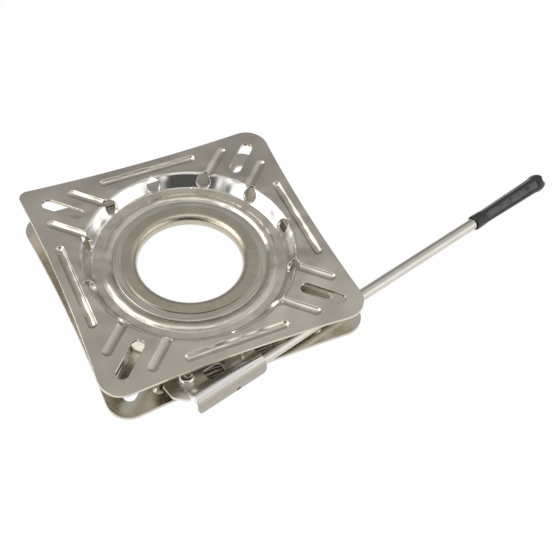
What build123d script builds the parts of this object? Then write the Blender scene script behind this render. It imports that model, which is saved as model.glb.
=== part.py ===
from build123d import *
from math import acos, atan, cos, degrees, pi, radians, sin, sqrt, tan
import os

# A swivel seat base: two pressed steel plates, dish to dish, turn on a ball race round a
# centre eyelet. A sprung catch on the lower plate drops its tooth into a ring of windows
# in the upper plate's dish, and a long rod with a grip works it. Millimetres and degrees.
# The origin is on the swivel axis at the underside of the lower plate, with +Z up, and the
# X and Y axes run through the lower plate's corner slots.

# Plates: both come from one pressing
flat_width = 19.4
side_sag = 3.6
corner_radius = 15.0
square_corner_radius = 6.0
sheet = 2.0
rest_turn = -2.0
slot_turn = 45.0

# Corner slots for the mounting bolts
slot_radius = 92.5
slot_length = 30.5
slot_width = 8.5

# Dish pressed into each plate, sized on its outer face
dish_depth = 9.2
wall_draft = 33.0
rim_bend = 2.8
floor_bend = 1.5
floor_land = 4.4
floor_gap = 2.6

# Round-bottomed beads pressed into the flat of each plate
bead_width = 5.6
bead_depth = 1.8
corner_bead_width = 6.4
corner_bead_depth = 1.3
bead_shoulder = 1.2
bead_edge_slope = 14.0
side_bead_length = 70.0
side_bead_inset = 12.0
corner_bead_length = 25.4
corner_bead_spread = 15.0
corner_bead_seat = 0.5
corner_bead_run_out = 4.0

# Catch windows through the upper plate's dish wall
window_count = 12
window_radius = 4.9
window_depth = 5.0

# Ball race
race_land = 0.3
race_foot = 0.8
ball_radius = 2.778
ball_count = 16
ball_play = 0.05
groove_ease = 0.15
cage_clearance = 0.3
cage_width = 11.0
pocket_clearance = 0.2

# Eyelet that holds the plates together, and its two wear rings
eyelet_bore = 35.0
eyelet_sheet = 1.0
eyelet_lip = 4.5
flange_width = 5.9
wear_ring_width = 11.8
wear_ring_thickness = 0.7
wear_ring_edge = 0.5
axial_play = 0.1
hole_clearance = 0.35
seat_fit = 0.03

# Catch lever: pivot, rod and latch plate
pivot_offset = 39.5
pivot_inset = 7.0
lever_angle = 12.1
lock_angle = 7.5
rod_radius = 4.0
rod_offset = 14.4
rod_lift = 0.7
rod_start = -3.0
rod_chamfer = 0.6
rod_fit = 0.05
latch_sheet = 2.0
latch_drop = 2.5
latch_tail = 14.5
latch_length = 47.0
latch_back_left = 7.0
latch_back_right = 3.5
latch_tail_front = 12.5
latch_tail_slant = 7.0
latch_corner = 3.0
hood_start = -5.0
hood_slit = 0.8
hood_foot = 10.0
hood_run = 0.4
lip_clearance = 0.5
hood_corner = 3.0
latch_window_start = 11.0
latch_window_length = 12.5
latch_window_back = 1.3
latch_window_width = 8.0
latch_window_corner = 2.0

# Tooth bent up from the latch plate
tooth_thickness = 2.0
tooth_height = 1.9
tooth_under = 2.8
tooth_through = 1.0
tooth_root_gap = 3.7
tooth_root_length = 6.8
tooth_tip_corner = 0.8

# Pivot post, washer and screw
post_radius = 4.4
journal_radius = 3.3
pivot_fit = 0.05
pivot_play = 0.15
spigot_radius = 3.4
screw_radius = 2.0
screw_fit = 0.05
screw_grip = 8.0
washer_radius = 5.5
washer_thickness = 0.8
head_radius = 4.75
head_height = 2.8
head_edge = 1.6
recess_length = 5.2
recess_width = 1.1
recess_depth = 1.5

# Return spring wound round the post
wire_radius = 0.6
coil_clearance = 0.4
coil_turns = 2.76
coil_pitch = 1.5
coil_lift = 0.3
base_leg = 8.0
latch_leg = 11.0
leg_bend = 1.5
anchor_clearance = 0.25

# Grip moulded over the end of the rod
grip_start = 240.0
grip_length = 73.0
grip_near_radius = 5.2
grip_far_radius = 6.5
grip_collar = 5.0
grip_collar_step = 0.25
grip_nose = 5.0
grip_socket = 54.0
flute_count = 6
flute_length = 60.0
flute_radius = 4.2
flute_sink = 1.05
flute_nose = 4.0

# Levels and shared lengths, from the middle outwards
overall_height = 2 * (dish_depth + sheet) + floor_gap
bead_peak = sheet + bead_depth
ceiling = overall_height - bead_peak
draft = radians(wall_draft)
tube_radius = eyelet_bore + eyelet_sheet
lip_inside = eyelet_lip - eyelet_sheet
lip_sink = lip_inside - wear_ring_thickness
hole_radius = tube_radius + lip_inside - sqrt(lip_inside**2 - lip_sink**2) + hole_clearance
wear_ring_bore = tube_radius + lip_inside + seat_fit
wear_ring_radius = wear_ring_bore + wear_ring_width
groove_radius = ball_radius + groove_ease
race_bend = groove_radius + sheet + race_foot
race_rise = dish_depth - (overall_height / 2 - ball_radius - ball_play - sheet)
race_lean = degrees(acos(1 - race_rise / race_bend))
race_half = race_bend * sin(radians(race_lean))
race_radius = wear_ring_radius + race_land + race_half
floor_turn = floor_bend * tan(radians(90 - wall_draft) / 2)
rim_radius = race_radius + race_half + floor_land + floor_turn + dish_depth * tan(draft)
side = 2 * (rim_radius + flat_width)
lower_floor = dish_depth
upper_floor = overall_height - dish_depth
rod_level = bead_peak + rod_lift + rod_radius
latch_level = rod_level + rod_radius + rod_fit - latch_drop
latch_top = latch_level + latch_sheet
hood_wrap = rod_radius + rod_fit
hood_lean = degrees(acos(1 - latch_drop / (hood_wrap + hood_foot)))
hood_rise = (hood_wrap + hood_foot) * sin(radians(hood_lean))
hood_edge = hood_rise - rod_offset + hood_run
pivot_x = -pivot_offset
pivot_y = -(side / 2 - pivot_inset)


def place(shape, turn=0.0):
    return Rot(0, 0, slot_turn + turn) * shape


# One face of the pressed sheet, in the plane of radius and height, seen with the dish
# rising from the flat. Depth 0 is the outer face and depth sheet is the inner one.
def dish_face(depth, reach):
    floor = dish_depth + depth
    foot = race_foot + depth

    def wall(height):
        return rim_radius - height * tan(draft) + depth / cos(draft)

    inner = Line((hole_radius, floor), (race_radius - race_half, floor))
    foot_in = JernArc(inner @ 1, inner % 1, foot, -race_lean)
    ridge = JernArc(foot_in @ 1, foot_in % 1, race_bend - foot, 2 * race_lean)
    foot_out = JernArc(ridge @ 1, ridge % 1, foot, -race_lean)
    corners = [foot_out @ 1, (wall(floor), floor), (wall(depth), depth), (reach, depth)]
    outer = FilletPolyline(*corners, radius=[floor_bend + depth, rim_bend - depth])
    return [inner, foot_in, ridge, foot_out] + list(outer.edges())


# The pressing before its outline is cut: one revolved sheet section.
def pressed_disc(reach):
    outer = dish_face(0, reach)
    inner = dish_face(sheet, reach)
    ends = [
        Line((hole_radius, dish_depth), (hole_radius, dish_depth + sheet)),
        Line((reach, 0), (reach, sheet)),
    ]
    section = make_face(Wire(outer + inner + ends))
    return revolve(Plane.XZ * section, Axis.Z)


# A square with bowed sides. One corner has its own radius.
def plate_outline(first_radius):
    half = side / 2
    corners = [(-half, -half), (half, -half), (half, half), (-half, half)]
    middle = half - side_sag
    middles = [(0, -middle), (middle, 0), (0, middle), (-middle, 0)]
    arcs = []
    for index in range(4):
        arcs.append(ThreePointArc(corners[index], middles[index], corners[(index + 1) % 4]))
    outline = make_face(Wire(arcs))
    outline = fillet(outline.vertices().sort_by_distance((-half, -half, 0))[1:], corner_radius)
    return fillet(outline.vertices().sort_by_distance((-half, -half, 0))[0], first_radius)


def bead_curve(width, depth):
    return (width**2 / 4 + depth**2) / (2 * depth)


# The back of a bead: a capsule one sheet larger than the groove.
def swell(start, end, width, depth):
    radius = bead_curve(width, depth) + sheet
    trim = width / 2
    capsule = Pos(start + trim, 0, 0) * Rot(0, 90, 0) * Cylinder(
        radius, end - start - width, align=(Align.CENTER, Align.CENTER, Align.MIN)
    )
    for along in (start + trim, end - trim):
        capsule += Pos(along, 0, 0) * Sphere(radius)
    return Pos(0, 0, depth + sheet - radius) * capsule


# The front of a bead: a round bottom that turns over soft shoulders, which meet the flat
# at a slight slope.
def groove(start, end, width, depth):
    curve = bead_curve(width, depth)
    under = bead_shoulder * (1 - cos(radians(bead_edge_slope)))
    turn = degrees(acos(1 - (depth + under) / (curve + bead_shoulder)))
    bottom = JernArc((0, depth), (1, 0), curve, -turn)
    shoulder = JernArc(bottom @ 1, bottom % 1, bead_shoulder, turn)
    rest = Polyline(shoulder @ 1, (0, -under), (0, depth))
    half = make_face(Wire([bottom, shoulder] + list(rest.edges())))
    section = half + mirror(half, about=Plane.YZ)
    trim = width / 2
    cut = Pos(start + trim, 0, 0) * extrude(Plane.YZ * section, end - start - width)
    for along in (start + trim, end - trim):
        cut += Pos(along, 0, 0) * revolve(Plane.XZ * half, Axis.Z)
    return cut


# The plates as pressed, with the dish rising from the flat at z 0.
def pressed_plate(disc, first_radius):
    plate = disc & extrude(plate_outline(first_radius), overall_height)
    bead_line = side / 2 - side_bead_inset
    bead_end = rim_radius + corner_bead_length
    seat = sqrt((rim_radius + corner_bead_seat) ** 2 - corner_bead_spread**2)
    above = Pos(0, 0, sheet / 2) * Box(
        2 * side, 2 * side, overall_height, align=(Align.CENTER, Align.CENTER, Align.MIN)
    )
    swells = []
    grooves = []
    for quarter in range(4):
        spot = Rot(0, 0, 90 * quarter) * Pos(0, bead_line, 0)
        half = side_bead_length / 2
        swells.append(spot * swell(-half, half, bead_width, bead_depth))
        grooves.append(spot * groove(-half, half, bead_width, bead_depth))
        for across in (-corner_bead_spread, corner_bead_spread):
            spot = Rot(0, 0, 45 + 90 * quarter) * Pos(0, across, 0)
            swells.append(spot * swell(seat, bead_end, corner_bead_width, corner_bead_depth))
            run_out = seat - corner_bead_run_out
            grooves.append(spot * groove(run_out, bead_end, corner_bead_width, corner_bead_depth))
    for back in swells:
        plate += back & above
    for front in grooves:
        plate -= front
    slots = Sketch()
    for quarter in range(4):
        slots += Rot(0, 0, 45 + 90 * quarter) * Pos(slot_radius, 0) * SlotOverall(slot_length, slot_width)
    plate -= extrude(slots, sheet)
    return plate


def base_plate(plate):
    plate -= Pos(pivot_x, pivot_y, 0) * Cylinder(spigot_radius + seat_fit, 2 * sheet)
    plate -= anchor_place() * Cylinder(wire_radius + anchor_clearance, 2 * sheet)
    return plate


def top_plate(plate):
    inside = rim_radius - dish_depth * tan(draft)
    outside = rim_radius + sheet / cos(draft)
    window = Pos(inside, 0, window_depth) * Rot(0, 90, 0) * Cylinder(
        window_radius, outside - inside, align=(Align.CENTER, Align.CENTER, Align.MIN)
    )
    for index in range(window_count):
        plate -= Rot(0, 0, 360 / window_count * index) * window
    return Pos(0, 0, overall_height) * Rot(180, 0, 0) * plate


# One face of the eyelet's sheet, in the plane of radius and height, from the rim of the
# lower flange to the rim of the upper one. Depth 0 is the face towards the axis.
def eyelet_face(depth):
    rim = eyelet_bore + eyelet_lip + flange_width
    low = lower_floor - wear_ring_thickness - eyelet_sheet + depth
    high = upper_floor + axial_play + wear_ring_thickness + eyelet_sheet - depth
    wall = eyelet_bore + depth
    corners = [(rim, low), (wall, low), (wall, high), (rim, high)]
    return FilletPolyline(*corners, radius=eyelet_lip - depth)


def eyelet():
    inner = eyelet_face(0)
    outer = eyelet_face(eyelet_sheet)
    ends = [Line(inner @ 0, outer @ 0), Line(inner @ 1, outer @ 1)]
    section = make_face(Wire(list(inner.edges()) + list(outer.edges()) + ends))
    return revolve(Plane.XZ * section, Axis.Z)


# A wear ring lies on z 0 with its rounded outer edge upwards.
def wear_ring():
    ring = Cylinder(wear_ring_radius, wear_ring_thickness, align=(Align.CENTER, Align.CENTER, Align.MIN))
    ring -= Cylinder(wear_ring_bore, 3 * wear_ring_thickness)
    rim = ring.edges().filter_by(GeomType.CIRCLE).group_by(Axis.Z)[-1].sort_by(SortBy.RADIUS)[-1]
    return fillet(rim, wear_ring_edge)


def ball_ring():
    return PolarLocations(race_radius, ball_count)


def ball_cage():
    thickness = floor_gap - 2 * cage_clearance
    cage = Cylinder(race_radius + cage_width / 2, thickness) - Cylinder(race_radius - cage_width / 2, thickness)
    for spot in ball_ring():
        cage -= spot * Cylinder(ball_radius + pocket_clearance, thickness)
    return Pos(0, 0, overall_height / 2) * cage


def bearing_balls():
    balls = []
    for spot in ball_ring():
        balls.append(Pos(0, 0, overall_height / 2) * spot * Sphere(ball_radius))
    return Compound(balls)


# The lever's own axes: origin at the pivot, X along the rod, Y towards the swivel axis.
def lever_place():
    return Pos(pivot_x, pivot_y, 0) * Rot(0, 0, lever_angle)


# One face of the latch sheet where it wraps over the rod, in the plane of Y and Z.
# Depth 0 is the face on the rod and depth latch_sheet is the outer one.
def hood_face(depth):
    level = latch_level + depth
    run_in = Line((hood_edge, level), (hood_edge - hood_run, level))
    rise = JernArc(run_in @ 1, run_in % 1, hood_foot - depth, -hood_lean)
    crown = JernArc(rise @ 1, rise % 1, hood_wrap + depth, hood_lean + 90)
    skirt = Line(crown @ 1, ((crown @ 1).X, sheet + lip_clearance))
    return [run_in, rise, crown, skirt]


def hood():
    inner = hood_face(0)
    outer = hood_face(latch_sheet)
    ends = [Line(inner[0] @ 0, outer[0] @ 0), Line(inner[-1] @ 1, outer[-1] @ 1)]
    section = make_face(Wire(inner + outer + ends))
    shell = Pos(hood_start, 0, 0) * extrude(Plane.YZ * section, latch_length - hood_start)
    lip = shell.edges().filter_by(Axis.Y).group_by(Axis.Z)[0]
    return fillet(lip, hood_corner)


def latch_flat():
    slit = hood_start - hood_slit
    points = [(-latch_tail, latch_back_left), (latch_length, -latch_back_right)]
    points += [(latch_length, hood_edge), (slit, hood_edge)]
    points += [(slit, -latch_tail_front), (latch_tail_slant - latch_tail, -latch_tail_front)]
    points += [(-latch_tail, latch_tail_slant - latch_tail_front)]
    outline = make_face(Polyline(*points, close=True))
    tail = outline.vertices().filter_by(lambda v: v.X < slit - hood_slit)
    outline = fillet(tail, latch_corner)
    outline -= Circle(journal_radius + pivot_fit)
    return Pos(0, 0, latch_level) * extrude(outline, latch_sheet)


# The window runs from the flat into the slope that rises to the hood.
def latch_window():
    window_x = latch_window_start + latch_window_length / 2
    window_y = -latch_window_back - latch_window_width / 2
    window = RectangleRounded(latch_window_length, latch_window_width, latch_window_corner)
    return Pos(window_x, window_y, latch_level) * extrude(window, latch_drop + latch_sheet)


# The tooth is drawn home in its window, with its end sloped as the dish wall, then swung
# out to the released position.
def tooth():
    top = ceiling - tooth_under
    bottom = top - tooth_height
    root = rim_radius + tooth_root_gap
    heel = root + tooth_root_length

    def tip(height):
        return rim_radius - (overall_height - height) * tan(draft) - tooth_through

    points = [(tip(bottom), bottom), (root, bottom), (root, latch_top)]
    points += [(heel, latch_top), (heel, top), (tip(top), top)]
    profile = make_face(Polyline(*points, close=True))
    nose = profile.vertices().sort_by(Axis.X)[:2]
    profile = fillet(nose, tooth_tip_corner)
    blade = extrude(Plane.XZ * profile, tooth_thickness / 2, both=True)
    home = Rot(0, 0, rest_turn - 90) * blade
    swing = Pos(pivot_x, pivot_y, 0) * Rot(0, 0, -lock_angle) * Pos(-pivot_x, -pivot_y, 0)
    return swing * home


def latch_plate():
    return lever_place() * (latch_flat() + hood() - latch_window()) + tooth()


def rod_place():
    return lever_place() * Pos(0, -rod_offset, rod_level) * Rot(0, 90, 0)


rod_end = grip_start + grip_socket - rod_chamfer


def lever_rod():
    rod = Pos(0, 0, rod_start) * Cylinder(
        rod_radius, rod_end - rod_start, align=(Align.CENTER, Align.CENTER, Align.MIN)
    )
    return rod_place() * chamfer(rod.edges().filter_by(GeomType.CIRCLE), rod_chamfer)


# A flute is a teardrop of revolution: it comes to a point by the collar and ends round.
def flute():
    waist = flute_length - flute_nose
    outline = Line((0, 0), (flute_radius, waist))
    nose = JernArc(outline @ 1, (0, 1), flute_radius, 90)
    half = make_face(Wire([outline, nose, Line(nose @ 1, (0, 0))]))
    return revolve(Plane.XZ * half, Axis.Z)


def lever_grip():
    collar = grip_near_radius + grip_collar_step
    far = grip_length - grip_nose
    points = [(0, 0), (collar, 0), (collar, grip_collar), (grip_near_radius, grip_collar)]
    points += [(grip_far_radius, far), (grip_far_radius - grip_nose / 2, grip_length), (0, grip_length)]
    section = make_face(Polyline(*points, close=True))
    grip = revolve(Plane.XZ * section, Axis.Z)
    slope = (grip_far_radius - grip_near_radius) / (far - grip_collar)
    for index in range(flute_count):
        lean = degrees(slope)
        spot = Rot(0, 0, 360 / flute_count * index) * Pos(grip_near_radius, 0, grip_collar)
        grip -= spot * Rot(0, lean, 0) * Pos(flute_radius - flute_sink, 0, 0) * flute()
    grip -= Cylinder(rod_radius + rod_fit, grip_socket, align=(Align.CENTER, Align.CENTER, Align.MIN))
    return rod_place() * Pos(0, 0, grip_start) * grip


def pivot_place(height):
    return Pos(pivot_x, pivot_y, height)


post_top = latch_top + pivot_play


def pivot_post():
    steps = [(0, 0), (spigot_radius, 0), (spigot_radius, sheet), (post_radius, sheet)]
    steps += [(post_radius, latch_level), (journal_radius, latch_level)]
    steps += [(journal_radius, post_top), (0, post_top)]
    post = revolve(Plane.XZ * make_face(Polyline(*steps, close=True)), Axis.Z)
    bore = Cylinder(
        screw_radius + screw_fit, screw_grip, align=(Align.CENTER, Align.CENTER, Align.MAX)
    )
    return pivot_place(0) * (post - Pos(0, 0, post_top) * bore)


def pivot_washer():
    washer = Cylinder(washer_radius, washer_thickness) - Cylinder(screw_radius + screw_fit, washer_thickness)
    return pivot_place(post_top + washer_thickness / 2) * washer


def pivot_screw():
    head = Cylinder(head_radius, head_height, align=(Align.CENTER, Align.CENTER, Align.MIN))
    head = fillet(head.edges().filter_by(GeomType.CIRCLE).group_by(Axis.Z)[-1], head_edge)
    for turn in (0, 90):
        bar = Box(recess_length, recess_width, recess_depth, align=(Align.CENTER, Align.CENTER, Align.MAX))
        head -= Pos(0, 0, head_height) * Rot(0, 0, turn) * bar
    length = screw_grip + washer_thickness - screw_fit
    shank = Cylinder(screw_radius, length, align=(Align.CENTER, Align.CENTER, Align.MAX))
    return pivot_place(post_top + washer_thickness) * (head + shank)


# The coil starts low with a leg that turns down into the base plate, and ends high with a
# leg that turns up behind the latch plate's tail.
coil_radius = post_radius + coil_clearance + wire_radius
coil_base = bead_peak + coil_lift + wire_radius
coil_slope = atan(coil_pitch / (2 * pi * coil_radius))


def coil_place():
    return pivot_place(coil_base) * Rot(0, 0, 180)


def anchor_place():
    return coil_place() * Pos(coil_radius, -base_leg * cos(coil_slope), -coil_base)


def spring_leg(start, run, tip_height):
    elbow = start + run
    path = FilletPolyline(start, elbow, Vector(elbow.X, elbow.Y, tip_height), radius=leg_bend)
    return sweep(Plane(start, z_dir=run) * Circle(wire_radius), path=path)


def return_spring():
    coil = Helix(coil_pitch, coil_pitch * coil_turns, coil_radius)
    wire = Plane(coil @ 0, z_dir=coil % 0) * Circle(wire_radius)
    spring = sweep(wire, path=coil, is_frenet=True)
    spring += spring_leg(coil @ 0, coil % 0 * -base_leg, -coil_base)
    spring += spring_leg(coil @ 1, coil % 1 * latch_leg, latch_top - coil_base)
    return coil_place() * spring


disc = pressed_disc(side)
lower_pressing = pressed_plate(disc, corner_radius)
upper_pressing = pressed_plate(disc, square_corner_radius)
washer_ring = wear_ring()
pieces = {
    "base_plate": place(base_plate(lower_pressing)),
    "top_plate": place(top_plate(upper_pressing), rest_turn),
    "eyelet": place(eyelet()),
    "upper_wear_ring": place(Pos(0, 0, upper_floor + axial_play) * washer_ring),
    "lower_wear_ring": place(Pos(0, 0, lower_floor) * Rot(180, 0, 0) * washer_ring),
    "ball_cage": place(ball_cage()),
    "bearing_balls": place(bearing_balls()),
    "latch_plate": place(latch_plate()),
    "lever_rod": place(lever_rod()),
    "lever_grip": place(lever_grip()),
    "pivot_post": place(pivot_post()),
    "pivot_washer": place(pivot_washer()),
    "pivot_screw": place(pivot_screw()),
    "return_spring": place(return_spring()),
}

os.makedirs("parts", exist_ok=True)
for name, piece in pieces.items():
    export_step(piece, f"parts/{name}.step")
    print(name, round(piece.volume, 1))
pivot = place(pivot_place(0)).position
print("pivot", round(pivot.X, 3), round(pivot.Y, 3), "height", overall_height)
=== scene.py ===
import math

import bpy
from mathutils import Matrix, Vector


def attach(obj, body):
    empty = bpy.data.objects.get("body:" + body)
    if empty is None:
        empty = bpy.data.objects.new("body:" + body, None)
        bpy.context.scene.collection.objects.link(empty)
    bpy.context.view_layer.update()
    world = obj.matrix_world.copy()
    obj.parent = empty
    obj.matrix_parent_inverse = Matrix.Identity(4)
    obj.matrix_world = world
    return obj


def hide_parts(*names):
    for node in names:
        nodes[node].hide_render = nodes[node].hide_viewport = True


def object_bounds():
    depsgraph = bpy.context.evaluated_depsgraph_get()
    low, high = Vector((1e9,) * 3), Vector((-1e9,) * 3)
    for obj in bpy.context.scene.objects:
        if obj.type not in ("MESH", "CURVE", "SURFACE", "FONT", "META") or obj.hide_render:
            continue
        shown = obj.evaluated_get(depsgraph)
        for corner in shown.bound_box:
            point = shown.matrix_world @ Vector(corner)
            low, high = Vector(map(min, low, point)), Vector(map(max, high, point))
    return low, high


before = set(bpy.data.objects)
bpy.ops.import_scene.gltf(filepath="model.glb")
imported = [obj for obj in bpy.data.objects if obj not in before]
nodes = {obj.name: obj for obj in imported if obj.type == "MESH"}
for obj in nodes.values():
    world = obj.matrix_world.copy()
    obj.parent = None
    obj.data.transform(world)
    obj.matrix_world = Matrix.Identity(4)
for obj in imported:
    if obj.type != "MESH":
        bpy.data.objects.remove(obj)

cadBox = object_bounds()
mm = 0.001
print("frame loaded:", len(nodes), "nodes")

# the camera was matched to the photo on the plate's corners, slots and rings
cameraView = {
    "place": (0.15540, -0.40120, 0.54464),
    "right": (0.95023, 0.30461, 0.06528),
    "up": (-0.27887, 0.73828, 0.61414),
    "back": (0.13888, -0.60178, 0.78649),
    "imageSize": 560,
    "focalPixels": 1022.19,
    "middlePixel": (280.4, 281.3),
    "sensor": 36.0,
}


def makeCamera(view):
    data = bpy.data.cameras.new("photoCamera")
    size = view["imageSize"]
    data.sensor_fit = "HORIZONTAL"
    data.sensor_width = view["sensor"]
    data.lens = view["focalPixels"] / size * view["sensor"]
    data.shift_x = (size / 2 - view["middlePixel"][0]) / size
    data.shift_y = (view["middlePixel"][1] - size / 2) / size
    camera = bpy.data.objects.new("photoCamera", data)
    turn = Matrix([view[name] for name in ("right", "up", "back")]).transposed()
    camera.matrix_world = Matrix.Translation(view["place"]) @ turn.to_4x4()
    bpy.context.scene.collection.objects.link(camera)
    bpy.context.scene.camera = camera


def addNode(tree, kind, **values):
    node = tree.nodes.new(kind)
    for name, value in values.items():
        setattr(node, name, value)
    return node


# an input takes a link from another socket, or a plain value
def feed(tree, socket, value):
    if isinstance(value, bpy.types.NodeSocket):
        tree.links.new(value, socket)
    elif socket.type == "RGBA":
        socket.default_value = (*value, 1.0)
    else:
        socket.default_value = value


def mathNode(tree, operation, first, second):
    node = addNode(tree, "ShaderNodeMath", operation=operation)
    feed(tree, node.inputs[0], first)
    feed(tree, node.inputs[1], second)
    return node.outputs[0]


def vectorNode(tree, operation, first, second=None):
    node = addNode(tree, "ShaderNodeVectorMath", operation=operation)
    feed(tree, node.inputs[0], first)
    if second is not None:
        feed(tree, node.inputs[1], second)
    return node.outputs["Value" if operation in ("DOT_PRODUCT", "DISTANCE", "LENGTH") else "Vector"]


# low may lie above high, and the ramp then runs the other way
def rampNode(tree, value, low, high, outLow=0.0, outHigh=1.0):
    node = addNode(tree, "ShaderNodeMapRange", interpolation_type="SMOOTHSTEP")
    feed(tree, node.inputs["Value"], value)
    feed(tree, node.inputs["From Min"], low)
    feed(tree, node.inputs["From Max"], high)
    feed(tree, node.inputs["To Min"], outLow)
    feed(tree, node.inputs["To Max"], outHigh)
    return node.outputs["Result"]


def noiseNode(tree, place, scale, detail):
    node = addNode(tree, "ShaderNodeTexNoise")
    feed(tree, node.inputs["Vector"], place)
    feed(tree, node.inputs["Scale"], scale)
    feed(tree, node.inputs["Detail"], detail)
    return node.outputs["Fac"]


# the Mix node has a run of sockets for each kind of data, so they go by number
def mixValue(tree, factor, first, second):
    node = addNode(tree, "ShaderNodeMix", data_type="FLOAT")
    for index, value in ((0, factor), (2, first), (3, second)):
        feed(tree, node.inputs[index], value)
    return node.outputs[0]


def mixColour(tree, factor, first, second):
    node = addNode(tree, "ShaderNodeMix", data_type="RGBA")
    for index, value in ((0, factor), (6, first), (7, second)):
        feed(tree, node.inputs[index], value)
    return node.outputs[2]


def mixShader(tree, factor, first, second):
    node = addNode(tree, "ShaderNodeMixShader")
    for socket, value in zip(node.inputs, (factor, first, second)):
        feed(tree, socket, value)
    return node.outputs[0]


def addBump(tree, height, normal, strength, distance):
    bump = addNode(tree, "ShaderNodeBump")
    feed(tree, bump.inputs["Strength"], strength)
    feed(tree, bump.inputs["Distance"], distance)
    feed(tree, bump.inputs["Height"], height)
    feed(tree, bump.inputs["Normal"], normal)
    return bump.outputs["Normal"]


def startMaterial(name):
    material = bpy.data.materials.new(name)
    material.use_nodes = True
    material.node_tree.nodes.clear()
    return material, material.node_tree


def endMaterial(tree, shader):
    out = addNode(tree, "ShaderNodeOutputMaterial")
    feed(tree, out.inputs["Surface"], shader)


# a white tent by direction: a grey roof that grows lighter overhead and to the right, bright
# panels at the sides and a dark gap by the camera, each full at inner and gone at outer degrees
tent = {
    "roof": 0.40,
    "panels": {
        "overhead": {"towards": (0.0, 0.0, 1.0), "inner": 0.0, "outer": 62.0, "level": 0.70},
        "backRight": {"towards": (0.45, 0.50, 0.74), "inner": 0.0, "outer": 38.0, "level": 0.90},
        "zenith": {"towards": (0.05, -0.05, 1.0), "inner": 7.0, "outer": 18.0, "level": 1.7},
        "left": {"towards": (-0.791, -0.554, 0.259), "inner": 30.0, "outer": 44.0, "level": 2.0},
        "right": {"towards": (0.974, 0.0, 0.225), "inner": 25.0, "outer": 40.0, "level": 1.6},
        "gap": {"towards": (0.374, -0.880, 0.292), "inner": 18.0, "outer": 34.0, "level": 0.10},
    },
    "backdrop": (1.0, 1.0, 1.0),
}


def panelSpread(tree, direction, panel):
    dot = vectorNode(tree, "DOT_PRODUCT", direction, Vector(panel["towards"]).normalized())
    outer = math.cos(math.radians(panel["outer"]))
    inner = math.cos(math.radians(panel["inner"]))
    return rampNode(tree, dot, outer, inner)


def makeTent(values):
    world = bpy.data.worlds.new("tent")
    bpy.context.scene.world = world
    world.use_nodes = True
    tree = world.node_tree
    tree.nodes.clear()
    direction = addNode(tree, "ShaderNodeTexCoord").outputs["Generated"]
    level = values["roof"]
    for panel in values["panels"].values():
        level = mixValue(tree, panelSpread(tree, direction, panel), level, panel["level"])
    tentLight = addNode(tree, "ShaderNodeBackground")
    feed(tree, tentLight.inputs["Strength"], level)
    backdrop = addNode(tree, "ShaderNodeBackground")
    feed(tree, backdrop.inputs["Color"], values["backdrop"])
    rays = addNode(tree, "ShaderNodeLightPath")
    seen = mixShader(tree, rays.outputs["Is Camera Ray"], tentLight.outputs[0], backdrop.outputs[0])
    out = addNode(tree, "ShaderNodeOutputWorld")
    feed(tree, out.inputs["Surface"], seen)


studio = {
    "floorHalf": 3.0,
    "floorGap": 0.2,  # in mm, the rest in metres
    "floorColour": (0.90, 0.90, 0.89),
    "floorWhite": 0.97,
    "keyPlace": (-0.9, -0.2, 1.3),
    "keySize": 0.9,
    "keyPower": 5.0,
}


def makeFloor(values):
    bpy.ops.object.select_all(action="DESELECT")
    height = cadBox[0][2] - values["floorGap"] * mm
    bpy.ops.mesh.primitive_plane_add(size=2 * values["floorHalf"], location=(0, 0, height))
    floor = bpy.context.object
    floor.name = "floor"
    material, tree = startMaterial("floorWhite")
    paint = addNode(tree, "ShaderNodeBsdfDiffuse")
    feed(tree, paint.inputs["Color"], values["floorColour"])
    glow = addNode(tree, "ShaderNodeEmission")
    rays = addNode(tree, "ShaderNodeLightPath").outputs
    seen = mathNode(tree, "MAXIMUM", rays["Is Camera Ray"], rays["Is Glossy Ray"])
    share = mathNode(tree, "MULTIPLY", seen, values["floorWhite"])
    endMaterial(tree, mixShader(tree, share, paint.outputs[0], glow.outputs[0]))
    floor.data.materials.append(material)


def makeKeyLight(values):
    data = bpy.data.lights.new("keyLight", "AREA")
    data.size = values["keySize"]
    data.energy = values["keyPower"]
    light = bpy.data.objects.new("keyLight", data)
    place = Vector(values["keyPlace"])
    aim = place.to_track_quat("Z", "Y").to_matrix().to_4x4()
    light.matrix_world = Matrix.Translation(place) @ aim
    bpy.context.scene.collection.objects.link(light)


# a node group with its sockets: gives the group, what comes in and what goes out
def startGroup(name, vectors, values, outputs):
    group = bpy.data.node_groups.new(name, "ShaderNodeTree")
    for label in vectors:
        group.interface.new_socket(label, in_out="INPUT", socket_type="NodeSocketVector")
    for label, value in values.items():
        socket = group.interface.new_socket(label, in_out="INPUT", socket_type="NodeSocketFloat")
        socket.default_value = value
    for label, kind in outputs.items():
        group.interface.new_socket(label, in_out="OUTPUT", socket_type="NodeSocket" + kind)
    source = group.nodes.new("NodeGroupInput")
    target = group.nodes.new("NodeGroupOutput")
    return group, source.outputs, target.inputs


def placeGroup(tree, group, place=None, **values):
    node = addNode(tree, "ShaderNodeGroup", node_tree=group)
    if place is not None:
        tree.links.new(place, node.inputs["Vector"])
    for name, value in values.items():
        node.inputs[name].default_value = value
    return node.outputs


levelOnly = (1.0, 1.0, 0.0)  # takes the height out of a place


def axisRadius(tree, place):
    return vectorNode(tree, "LENGTH", vectorNode(tree, "MULTIPLY", place, levelOnly))


# shared effect: fine rolled grain that changes roughness, tone and height
grainEffect = {
    "sockets": {"Scale": 400.0, "Stretch": 6.0, "Cloud": 45.0},
    "grainDetail": 3.0,
    "cloudDetail": 2.0,
    "grainShare": 0.3,
}


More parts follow.
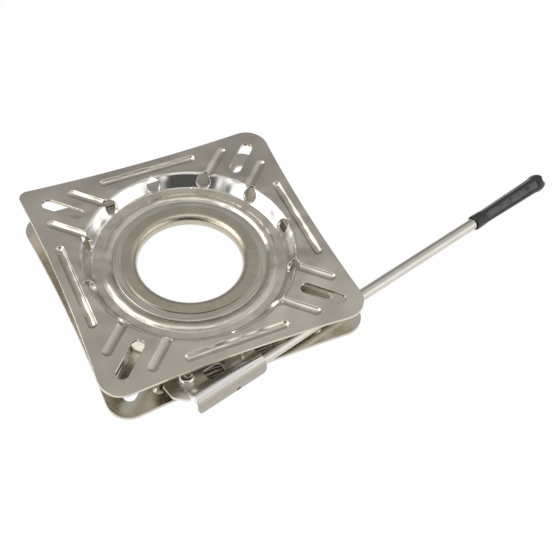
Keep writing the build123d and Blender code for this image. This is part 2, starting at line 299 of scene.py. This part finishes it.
def makeGrainGroup(effect):
    outputs = {"Grain": "Float", "Clouds": "Float", "Height": "Float"}
    group, source, target = startGroup("rolledGrain", ["Vector"], effect["sockets"], outputs)
    squeeze = addNode(group, "ShaderNodeCombineXYZ")
    feed(group, squeeze.inputs["X"], 1.0)
    feed(group, squeeze.inputs["Y"], source["Stretch"])
    feed(group, squeeze.inputs["Z"], 1.0)
    stretched = vectorNode(group, "MULTIPLY", source["Vector"], squeeze.outputs[0])
    grain = noiseNode(group, stretched, source["Scale"], effect["grainDetail"])
    clouds = noiseNode(group, source["Vector"], source["Cloud"], effect["cloudDetail"])
    height = mathNode(group, "ADD", mathNode(group, "MULTIPLY", grain, effect["grainShare"]), clouds)
    feed(group, target["Grain"], grain)
    feed(group, target["Clouds"], clouds)
    feed(group, target["Height"], height)
    return group


# shared effect: a mask along edges, from normals rounded off over a small radius
edgeEffect = {
    "sockets": {"Radius": 0.0006, "Start": 0.02, "End": 0.25},
    "samples": 6,
}


def makeEdgeGroup(effect):
    outputs = {"Edge": "Float", "Normal": "Vector"}
    group, source, target = startGroup("edgeBright", [], effect["sockets"], outputs)
    rounded = addNode(group, "ShaderNodeBevel", samples=effect["samples"])
    feed(group, rounded.inputs["Radius"], source["Radius"])
    geometry = addNode(group, "ShaderNodeNewGeometry")
    dot = vectorNode(group, "DOT_PRODUCT", rounded.outputs["Normal"], geometry.outputs["Normal"])
    off = mathNode(group, "SUBTRACT", 1.0, dot)
    feed(group, target["Edge"], rampNode(group, off, source["Start"], source["End"]))
    feed(group, target["Normal"], rounded.outputs["Normal"])
    return group


# shared effect: the shallow waves of pressed sheet, stronger where the dish was drawn
waveEffect = {
    "sockets": {"Scale": 22.0, "RimStart": 0.066, "RimEnd": 0.098, "RimLift": 2.4},
    "detail": 1.0,
    "tightScale": 2.6,
    "tightShare": 0.3,
}


def makeWaveGroup(effect):
    group, source, target = startGroup("pressedWaves", ["Vector"], effect["sockets"], {"Height": "Float"})
    broad = noiseNode(group, source["Vector"], source["Scale"], effect["detail"])
    tightScale = mathNode(group, "MULTIPLY", source["Scale"], effect["tightScale"])
    tight = noiseNode(group, source["Vector"], tightScale, effect["detail"])
    radius = axisRadius(group, source["Vector"])
    rim = rampNode(group, radius, source["RimEnd"], source["RimStart"])
    near = mathNode(group, "MULTIPLY", rim, source["RimLift"])
    small = mathNode(group, "MULTIPLY", tight, mathNode(group, "MULTIPLY", near, effect["tightShare"]))
    feed(group, target["Height"], mathNode(group, "ADD", broad, small))
    return group


# shared effect: fine lines on a ring about the swivel axis, across it or along it
ringLineEffect = {
    "sockets": {"Across": 110.0, "Along": 60.0},
    "scale": 1.0,
    "detail": 2.0,
}


def makeRingLineGroup(effect):
    group, source, target = startGroup("ringLines", ["Vector"], effect["sockets"], {"Lines": "Float"})
    level = vectorNode(group, "MULTIPLY", source["Vector"], levelOnly)
    around = vectorNode(group, "MULTIPLY", vectorNode(group, "NORMALIZE", level), source["Across"])
    radius = axisRadius(group, source["Vector"])
    outwards = addNode(group, "ShaderNodeCombineXYZ")
    feed(group, outwards.inputs["Z"], mathNode(group, "MULTIPLY", radius, source["Along"]))
    both = vectorNode(group, "ADD", around, outwards.outputs[0])
    feed(group, target["Lines"], noiseNode(group, both, effect["scale"], effect["detail"]))
    return group


# shared effect: a small rust mark with a ragged edge, about one place
rustEffect = {
    "sockets": {"Reach": 0.002, "Ragged": 0.002},
    "scale": 900.0,
    "detail": 3.0,
    "middle": 0.5,  # of the noise
    "core": 0.5,
    "dark": (0.10, 0.045, 0.020),
    "light": (0.30, 0.13, 0.05),
}


def makeRustGroup(effect):
    outputs = {"Mask": "Float", "Colour": "Color"}
    group, source, target = startGroup("rustMark", ["Vector", "Place"], effect["sockets"], outputs)
    far = vectorNode(group, "DISTANCE", source["Vector"], source["Place"])
    ragged = noiseNode(group, source["Vector"], effect["scale"], effect["detail"])
    off = mathNode(group, "SUBTRACT", ragged, effect["middle"])
    bent = mathNode(group, "MULTIPLY", off, source["Ragged"])
    core = mathNode(group, "MULTIPLY", source["Reach"], effect["core"])
    mask = rampNode(group, mathNode(group, "ADD", far, bent), source["Reach"], core)
    feed(group, target["Mask"], mask)
    feed(group, target["Colour"], mixColour(group, ragged, effect["dark"], effect["light"]))
    return group


# shared effect: painted shade where surfaces meet, darkening the colour where ambient occlusion is strong
cornerShadeEffect = {
    "sockets": {"Reach": 0.0015, "Start": 0.75, "End": 0.25},
    "samples": 8,
}


def makeCornerShadeGroup(effect):
    group, source, target = startGroup("paintedCornerShade", [], effect["sockets"], {"Mask": "Float"})
    shut = addNode(group, "ShaderNodeAmbientOcclusion", samples=effect["samples"])
    feed(group, shut.inputs["Distance"], source["Reach"])
    feed(group, target["Mask"], rampNode(group, shut.outputs["AO"], source["Start"], source["End"]))
    return group


grainGroup = makeGrainGroup(grainEffect)
edgeGroup = makeEdgeGroup(edgeEffect)
waveGroup = makeWaveGroup(waveEffect)
ringLineGroup = makeRingLineGroup(ringLineEffect)
rustGroup = makeRustGroup(rustEffect)
cornerShadeGroup = makeCornerShadeGroup(cornerShadeEffect)
print("shared effects made")

# the rod's middle line in the CAD, under the hood and through the grip
rodLine = {
    "through": (0.042856, -0.094449, 0.0085),
    "along": (0.5432, 0.8396, 0.0),
}

# what all the steels share
steel = {
    "toneRange": (0.35, 0.65),
    "edgeGain": 1.35,
    # the colour of the painted shade in corners and creases
    "paintedShadeColour": (0.060, 0.050, 0.040),
    "roughRange": (0.3, 0.7),
    "grainDepth": 0.0004,
    "lineRange": (0.40, 0.60),
    "lineShade": 0.45,
    "rustRough": 0.8,
}

# lengths in metres, grain and lines per metre; dish and wall reaches are from the swivel axis
steelLooks = {
    "plateSteel": {
        "colour": (0.705, 0.655, 0.563), "shade": 0.87, "rough": 0.12, "roughSpread": 0.07,
        "grain": {"Scale": 260.0, "Stretch": 3.0, "Cloud": 26.0}, "bump": 0.010,
        "edge": 0.0006, "edgeLift": 0.5, "paintedShade": 0.75, "waves": 0.0028,
        # the dish floor is duller than the flats, and the wall's colour is lightened as a painted
        # highlight
        "dull": {"reach": (0.0655, 0.0620), "extra": 0.13},
        "wall": {"inner": (0.0640, 0.0655), "outer": (0.0715, 0.0700), "colour": (0.870, 0.850, 0.805)},
    },
    "baseSteel": {
        "colour": (0.700, 0.655, 0.570), "shade": 0.93, "rough": 0.19, "roughSpread": 0.07,
        "grain": {"Scale": 260.0, "Stretch": 3.0, "Cloud": 26.0}, "bump": 0.010,
        "edge": 0.0006, "edgeLift": 0.5, "waves": 0.0028,
        # painted shade over a long reach, darkening the base where the top plate covers it
        "paintedShade": 0.75, "shadeSpread": {"Reach": 0.030, "Start": 0.50, "End": 0.10},
    },
    "latchSteel": {
        "colour": (0.840, 0.800, 0.715), "shade": 0.92, "rough": 0.29, "roughSpread": 0.06,
        "grain": {"Scale": 300.0, "Stretch": 3.0, "Cloud": 45.0}, "bump": 0.005,
        "edge": 0.0006, "edgeLift": 0.5, "paintedShade": 0.6, "waves": 0.0006,
        "rust": {"Place": (0.0615, -0.07675, 0.0035), "Reach": 0.0021},
        # across the hood from the rod's line: a painted highlight and lower roughness along the crest,
        # painted shade on the skirt
        "hood": {
            "crestRise": (-0.0016, 0.0004), "crestFall": (0.0038, 0.0022),
            "crestHighlight": (1.0, 0.99, 0.97), "polish": 0.17,
            "skirt": (0.0030, 0.0046), "skirtShade": (0.43, 0.40, 0.345),
        },
    },
    "ringSteel": {
        "colour": (0.600, 0.545, 0.440), "shade": 0.90, "rough": 0.17, "roughSpread": 0.08,
        "grain": {"Scale": 500.0, "Stretch": 1.0, "Cloud": 50.0}, "bump": 0.010,
        "edge": 0.0004, "edgeLift": 0.5, "paintedShade": 0.75,
        "lines": {"Across": 110.0, "Along": 60.0}, "lineTint": 0.16, "lineDepth": 0.00006,
    },
    "wearSteel": {
        "colour": (0.740, 0.700, 0.615), "shade": 0.94, "rough": 0.13, "roughSpread": 0.05,
        "grain": {"Scale": 500.0, "Stretch": 1.0, "Cloud": 50.0}, "bump": 0.008,
        "edge": 0.0004, "edgeLift": 0.4, "paintedShade": 0.75,
        "lines": {"Across": 2.0, "Along": 1300.0}, "lineTint": 0.45, "lineDepth": 0.00010,
    },
    "rodSteel": {
        "colour": (0.665, 0.635, 0.575), "shade": 0.95, "rough": 0.20, "roughSpread": 0.06,
        "grain": {"Scale": 600.0, "Stretch": 0.4, "Cloud": 70.0}, "bump": 0.012,
        "edge": 0.0004, "edgeLift": 0.4, "paintedShade": 0.5,
    },
    "fastenerSteel": {
        "colour": (0.860, 0.845, 0.800), "shade": 0.95, "rough": 0.11, "roughSpread": 0.05,
        "grain": {"Scale": 600.0, "Stretch": 1.0, "Cloud": 120.0}, "bump": 0.010,
        "edge": 0.0002, "edgeLift": 0.3, "paintedShade": 0.7,
    },
    "springSteel": {
        "colour": (0.34, 0.34, 0.35), "shade": 0.88, "rough": 0.28, "roughSpread": 0.10,
        "grain": {"Scale": 900.0, "Stretch": 1.0, "Cloud": 150.0}, "bump": 0.02,
        "edge": 0.0002, "edgeLift": 0.2, "paintedShade": 0.6,
    },
    "ballSteel": {
        "colour": (0.74, 0.74, 0.75), "shade": 0.97, "rough": 0.06, "roughSpread": 0.04,
        "grain": {"Scale": 500.0, "Stretch": 1.0, "Cloud": 150.0}, "bump": 0.0,
        "edge": 0.0002, "edgeLift": 0.0, "paintedShade": 0.3,
    },
}


# rolled sheet with cloudy tone, brighter edges and painted shade in its corners
def steelTone(tree, place, look, grain, edge):
    colour = look["colour"]
    darker = [part * look["shade"] for part in colour]
    base = mixColour(tree, rampNode(tree, grain["Clouds"], *steel["toneRange"]), darker, colour)
    # painted highlight: the colour on the dish wall is lightened so its reflections come out whiter
    if "wall" in look:
        radius = axisRadius(tree, place)
        inner = rampNode(tree, radius, *look["wall"]["inner"])
        outer = rampNode(tree, radius, *look["wall"]["outer"])
        base = mixColour(tree, mathNode(tree, "MULTIPLY", inner, outer), base, look["wall"]["colour"])
    bright = [min(1.0, part * steel["edgeGain"]) for part in colour]
    base = mixColour(tree, mathNode(tree, "MULTIPLY", edge["Edge"], look["edgeLift"]), base, bright)
    # painted shade: the colour darkens towards the shade colour where other surfaces come near
    paintedShade = placeGroup(tree, cornerShadeGroup, **look.get("shadeSpread", {}))
    shadeAmount = mathNode(tree, "MULTIPLY", paintedShade["Mask"], look["paintedShade"])
    return mixColour(tree, shadeAmount, base, steel["paintedShadeColour"])


def paintHoodLight(tree, place, hood, base, rough):
    along = rodLine["along"]
    away = vectorNode(tree, "SUBTRACT", place, rodLine["through"])
    across = vectorNode(tree, "DOT_PRODUCT", away, (along[1], -along[0], 0.0))
    rise = rampNode(tree, across, *hood["crestRise"])
    fall = rampNode(tree, across, *hood["crestFall"])
    crest = mathNode(tree, "MULTIPLY", rise, fall)
    # painted highlight along the crest, then painted shade on the skirt
    base = mixColour(tree, crest, base, hood["crestHighlight"])
    base = mixColour(tree, rampNode(tree, across, *hood["skirt"]), base, hood["skirtShade"])
    polish = mathNode(tree, "MULTIPLY", crest, hood["polish"])
    return base, mathNode(tree, "SUBTRACT", rough, polish)


def dullFloor(tree, place, dull, rough):
    floor = rampNode(tree, axisRadius(tree, place), *dull["reach"])
    return mathNode(tree, "ADD", rough, mathNode(tree, "MULTIPLY", floor, dull["extra"]))


def drawRingLines(tree, place, look, base, normal):
    lines = placeGroup(tree, ringLineGroup, place, **look["lines"])["Lines"]
    faded = rampNode(tree, lines, *steel["lineRange"], look["lineTint"], 0.0)
    shaded = [part * steel["lineShade"] for part in look["colour"]]
    base = mixColour(tree, faded, base, shaded)
    return base, addBump(tree, lines, normal, 1.0, look["lineDepth"])


def makeSteel(name, look):
    material, tree = startMaterial(name)
    place = addNode(tree, "ShaderNodeTexCoord").outputs["Object"]
    grain = placeGroup(tree, grainGroup, place, **look["grain"])
    edge = placeGroup(tree, edgeGroup, Radius=look["edge"])
    base = steelTone(tree, place, look, grain, edge)
    roughest = look["rough"] + look["roughSpread"]
    rough = rampNode(tree, grain["Grain"], *steel["roughRange"], look["rough"], roughest)
    normal = edge["Normal"]
    if "hood" in look:
        base, rough = paintHoodLight(tree, place, look["hood"], base, rough)
    if "dull" in look:
        rough = dullFloor(tree, place, look["dull"], rough)
    if "waves" in look:
        waves = placeGroup(tree, waveGroup, place)
        normal = addBump(tree, waves["Height"], normal, 1.0, look["waves"])
    if "lines" in look:
        base, normal = drawRingLines(tree, place, look, base, normal)
    normal = addBump(tree, grain["Height"], normal, look["bump"], steel["grainDepth"])
    metallic = 1.0
    if "rust" in look:
        rust = placeGroup(tree, rustGroup, place, **look["rust"])
        base = mixColour(tree, rust["Mask"], base, rust["Colour"])
        crust = mathNode(tree, "MULTIPLY", rust["Mask"], steel["rustRough"])
        rough = mathNode(tree, "MAXIMUM", rough, crust)
        metallic = mathNode(tree, "SUBTRACT", 1.0, rust["Mask"])
    shader = addNode(tree, "ShaderNodeBsdfPrincipled")
    feed(tree, shader.inputs["Metallic"], metallic)
    feed(tree, shader.inputs["Base Color"], base)
    feed(tree, shader.inputs["Roughness"], rough)
    feed(tree, shader.inputs["Normal"], normal)
    endMaterial(tree, shader.outputs[0])
    return material


# what both plastics share
plastic = {
    "cloud": 150.0,
    "roughRange": (0.3, 0.7),
    "roughSpread": 0.12,
    "grainDepth": 0.0003,
    "sideRange": (0.05, 0.45),
    "floorRange": (0.5, 1.0),
    # where the painted sheen on the flute floors is patchy
    "sheenRange": (0.2, 0.6),
}

plasticLooks = {
    "gripPlastic": {
        "colour": (0.026, 0.026, 0.025), "worn": (0.20, 0.20, 0.20), "rough": 0.27,
        "speck": 1600.0, "bump": 0.10, "edge": 0.0009,
        # painted shade on the flute sides and a patchy painted sheen on the flute floors
        "flute": {"sides": (0.006, 0.006, 0.006), "floorSheen": (0.105, 0.105, 0.102)},
    },
    "cagePlastic": {
        "colour": (0.70, 0.67, 0.60), "worn": (0.62, 0.58, 0.50), "rough": 0.45,
        "speck": 900.0, "bump": 0.05, "edge": 0.0005,
    },
}


# painted shade along the sides of each flute, a patchy painted sheen on its floor
def paintFluteShadeAndSheen(tree, colours, base, clouds):
    mark = addNode(tree, "ShaderNodeAttribute", attribute_name="flute").outputs["Fac"]
    base = mixColour(tree, rampNode(tree, mark, *plastic["sideRange"]), base, colours["sides"])
    floor = rampNode(tree, mark, *plastic["floorRange"])
    patchy = rampNode(tree, clouds, *plastic["sheenRange"])
    return mixColour(tree, mathNode(tree, "MULTIPLY", floor, patchy), base, colours["floorSheen"])


def makePlastic(name, look):
    material, tree = startMaterial(name)
    place = addNode(tree, "ShaderNodeTexCoord").outputs["Object"]
    grain = placeGroup(tree, grainGroup, place, Scale=look["speck"], Stretch=1.0, Cloud=plastic["cloud"])
    edge = placeGroup(tree, edgeGroup, Radius=look["edge"])
    wear = mathNode(tree, "MULTIPLY", edge["Edge"], grain["Clouds"])
    base = mixColour(tree, wear, look["colour"], look["worn"])
    if "flute" in look:
        base = paintFluteShadeAndSheen(tree, look["flute"], base, grain["Clouds"])
    roughest = look["rough"] + plastic["roughSpread"]
    rough = rampNode(tree, grain["Grain"], *plastic["roughRange"], look["rough"], roughest)
    normal = addBump(tree, grain["Grain"], edge["Normal"], look["bump"], plastic["grainDepth"])
    shader = addNode(tree, "ShaderNodeBsdfPrincipled")
    feed(tree, shader.inputs["Base Color"], base)
    feed(tree, shader.inputs["Roughness"], rough)
    feed(tree, shader.inputs["Normal"], normal)
    endMaterial(tree, shader.outputs[0])
    return material


finishes = {name: makeSteel(name, look) for name, look in steelLooks.items()}
finishes.update({name: makePlastic(name, look) for name, look in plasticLooks.items()})
print("finishes made:", len(finishes))

finishOf = {
    "base_plate": "baseSteel",
    "top_plate": "plateSteel",
    "eyelet": "ringSteel",
    "upper_wear_ring": "wearSteel",
    "lower_wear_ring": "wearSteel",
    "ball_cage": "cagePlastic",
    "bearing_balls": "ballSteel",
    "latch_plate": "latchSteel",
    "lever_rod": "rodSteel",
    "pivot_post": "fastenerSteel",
    "pivot_washer": "fastenerSteel",
    "pivot_screw": "fastenerSteel",
    "return_spring": "springSteel",
}


def dressNode(name, finish):
    data = nodes[name].data
    if not data.materials:
        data.materials.append(finish)
    for index in range(len(data.materials)):
        data.materials[index] = finish


for nodeName, finishName in finishOf.items():
    dressNode(nodeName, finishes[finishName])
print("nodes dressed:", len(finishOf))

# the grip in millimetres and degrees; it is modelled upright and then laid along the rod
gripShape = {
    "from": 240.0,
    "roll": -8.0,
    "sides": 24,
    "ridgeEvery": 6,
    "ridgeHalf": 14.0,
    # from inside the bore, round the collar and out to the nose: along, radius
    "rings": (
        (12.0, 4.15), (0.6, 4.15), (0.1, 4.4), (0.0, 5.0), (0.3, 5.35), (0.9, 5.45), (4.2, 5.45),
        (5.0, 5.30), (6.5, 5.30), (9.0, 5.33), (20.0, 5.55), (34.0, 5.83), (48.0, 6.12), (58.0, 6.33),
        (64.0, 6.45), (66.5, 6.48), (69.0, 6.25), (71.0, 5.40), (72.2, 4.00),
    ),
    "tipInset": 0.5,
    "flute": {"from": 8.0, "to": 65.0, "outside": 4.6, "edge": 0.4, "depth": 0.8},
    # along, and the share of the radius that is left
    "deeper": ((20.0, 0.98), (34.0, 0.95), (48.0, 0.92), (58.0, 0.88)),
    "floor": {"near": 0.6, "outside": 4.3, "below": 0.4},
    "lobes": {"from": 69.0, "offRidge": 18.0, "outside": 3.0, "along": 1.3, "inwards": 0.90},
    "smooth": 2,
}


def selectBy(piece, kind, test):
    bpy.ops.object.mode_set(mode="EDIT")
    bpy.ops.mesh.select_mode(type=kind)
    bpy.ops.mesh.select_all(action="DESELECT")
    bpy.ops.object.mode_set(mode="OBJECT")
    items = piece.data.polygons if kind == "FACE" else piece.data.vertices
    for item in items:
        item.select = test(item)
    bpy.ops.object.mode_set(mode="EDIT")


# degrees round the grip from the nearest ridge
def ridgeTurn(spot, shape):
    step = 360.0 / shape["sides"] * shape["ridgeEvery"]
    turn = math.degrees(math.atan2(spot.y, spot.x)) % step
    return min(turn, step - turn)


def raiseRings(shape):
    rings = [(along * mm, radius * mm) for along, radius in shape["rings"]]
    start, bore = rings[0]
    bpy.ops.object.select_all(action="DESELECT")
    bpy.ops.mesh.primitive_circle_add(vertices=shape["sides"], radius=bore, location=(0, 0, start))
    grip = bpy.context.object
    grip.name = "flutedGrip"
    bpy.ops.object.transform_apply(location=True, rotation=True, scale=True)
    bpy.ops.object.mode_set(mode="EDIT")
    bpy.ops.mesh.select_all(action="SELECT")
    for (lastAlong, lastRadius), (along, radius) in zip(rings, rings[1:]):
        bpy.ops.mesh.extrude_region_move(TRANSFORM_OT_translate={"value": (0, 0, along - lastAlong)})
        grow = radius / lastRadius
        bpy.ops.transform.resize(value=(grow, grow, 1), center_override=(0, 0, along))
    bpy.ops.mesh.edge_face_add()
    bpy.ops.mesh.inset(thickness=rings[-1][1] * shape["tipInset"])
    bpy.ops.mesh.select_all(action="SELECT")
    bpy.ops.mesh.normals_make_consistent(inside=False)
    return grip


# pockets between the ridges, with their floors marked for the material
def pressFlutes(grip, shape):
    flute = shape["flute"]

    def inFlute(face):
        spot = face.center
        inReach = flute["from"] * mm < spot.z < flute["to"] * mm
        onOutside = spot.xy.length > flute["outside"] * mm
        return inReach and onOutside and ridgeTurn(spot, shape) > shape["ridgeHalf"]

    selectBy(grip, "FACE", inFlute)
    bpy.ops.mesh.inset(thickness=flute["edge"] * mm, depth=-flute["depth"] * mm)
    bpy.ops.object.mode_set(mode="OBJECT")
    mark = grip.data.attributes.new("flute", "FLOAT", "POINT")
    for face in grip.data.polygons:
        if face.select:
            for index in face.vertices:
                mark.data[index].value = 1.0


def deepenRing(grip, floor, at, outer, shrink):
    ceiling = outer - floor["below"]

    def onFloor(point):
        isNear = abs(point.co.z - at * mm) < floor["near"] * mm
        return isNear and floor["outside"] * mm < point.co.xy.length < ceiling * mm

    selectBy(grip, "VERT", onFloor)
    bpy.ops.transform.resize(value=(shrink, shrink, 1), center_override=(0, 0, at * mm))


# the pockets grow deeper towards the nose and stay clear of the rod
def deepenFlutes(grip, shape):
    radiusAt = dict(shape["rings"])
    for at, shrink in shape["deeper"]:
        deepenRing(grip, shape["floor"], at, radiusAt[at], shrink)


# the nose falls back between the ridges and leaves them as lobes
def lobeNose(grip, shape):
    lobes = shape["lobes"]

    def betweenRidges(point):
        onNose = point.co.z > lobes["from"] * mm and point.co.xy.length > lobes["outside"] * mm
        return onNose and ridgeTurn(point.co, shape) > lobes["offRidge"]

    selectBy(grip, "VERT", betweenRidges)
    bpy.ops.transform.translate(value=(0, 0, -lobes["along"] * mm))
    bpy.ops.transform.resize(value=(lobes["inwards"], lobes["inwards"], 1), center_override=(0, 0, 0))
    bpy.ops.object.mode_set(mode="OBJECT")


def layAlongRod(grip, shape):
    along = Vector(rodLine["along"]).normalized()
    side = Vector((along.y, -along.x, 0.0))
    stand = Matrix((side, along.cross(side), along)).transposed().to_4x4()
    roll = Matrix.Rotation(math.radians(shape["roll"]), 4, "Z")
    foot = Vector(rodLine["through"]) + along * shape["from"] * mm
    grip.matrix_world = Matrix.Translation(foot) @ (stand @ roll)
    bpy.ops.object.transform_apply(location=True, rotation=True, scale=True)


def makeGrip(shape):
    grip = raiseRings(shape)
    pressFlutes(grip, shape)
    deepenFlutes(grip, shape)
    lobeNose(grip, shape)
    subdivision = grip.modifiers.new("subdivision", "SUBSURF")
    subdivision.levels = shape["smooth"]
    subdivision.render_levels = shape["smooth"]
    bpy.ops.object.modifier_apply(modifier="subdivision")
    bpy.ops.object.shade_smooth()
    layAlongRod(grip, shape)
    grip.data.materials.append(finishes["gripPlastic"])
    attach(grip, "lever")
    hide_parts("lever_grip")


makeGrip(gripShape)
print("grip modelled")

makeCamera(cameraView)
makeTent(tent)
makeFloor(studio)
makeKeyLight(studio)
bpy.context.scene.view_settings.view_transform = "Standard"
print("studio set")
